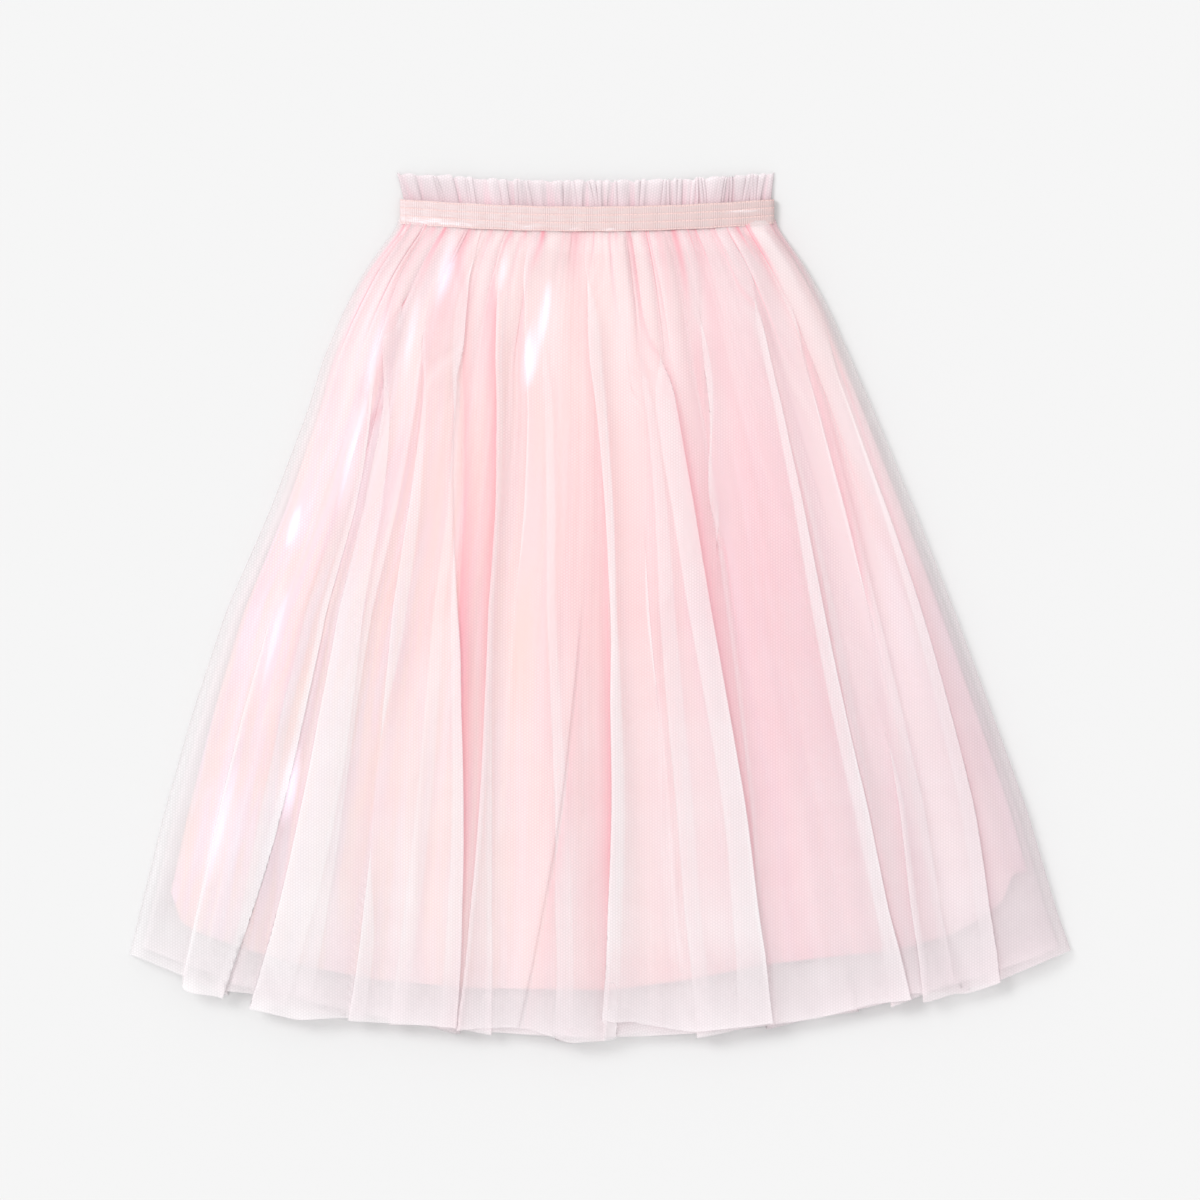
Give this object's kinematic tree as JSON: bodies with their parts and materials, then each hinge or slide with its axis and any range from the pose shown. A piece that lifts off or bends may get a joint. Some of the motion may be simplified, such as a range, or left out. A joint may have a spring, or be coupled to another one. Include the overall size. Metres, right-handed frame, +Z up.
{
  "type": "tulle skirt",
  "caption": "Child's gathered tulle skirt lying flat, with a ruffled elastic waist and a shorter shimmer underskirt showing through the net.",
  "frame": {"origin": "on the table, under the middle of the skirt's outline", "axes": "+X across the skirt to the viewer's right, +Y from the hem to the waist, +Z up from the table; the front lies up"},
  "size_m": [0.6128, 0.568, 0.0297],
  "materials": {
    "tulle_net": "sheer soft net, pale pink",
    "shimmer_satin": "satin with a pearly shimmer, pink",
    "shimmer_elastic": "woven elastic with a pearly shimmer, pink"
  },
  "bodies": {
    "root": {"waistband_front": "shimmer_elastic", "waistband_back": "shimmer_elastic", "ruffle_front": "tulle_net", "ruffle_back": "tulle_net", "tulle_outer_front": "tulle_net", "tulle_outer_back": "tulle_net", "tulle_inner_front": "tulle_net", "tulle_inner_back": "tulle_net", "underskirt_front": "shimmer_satin", "underskirt_back": "shimmer_satin"}
  },
  "joints": []
}
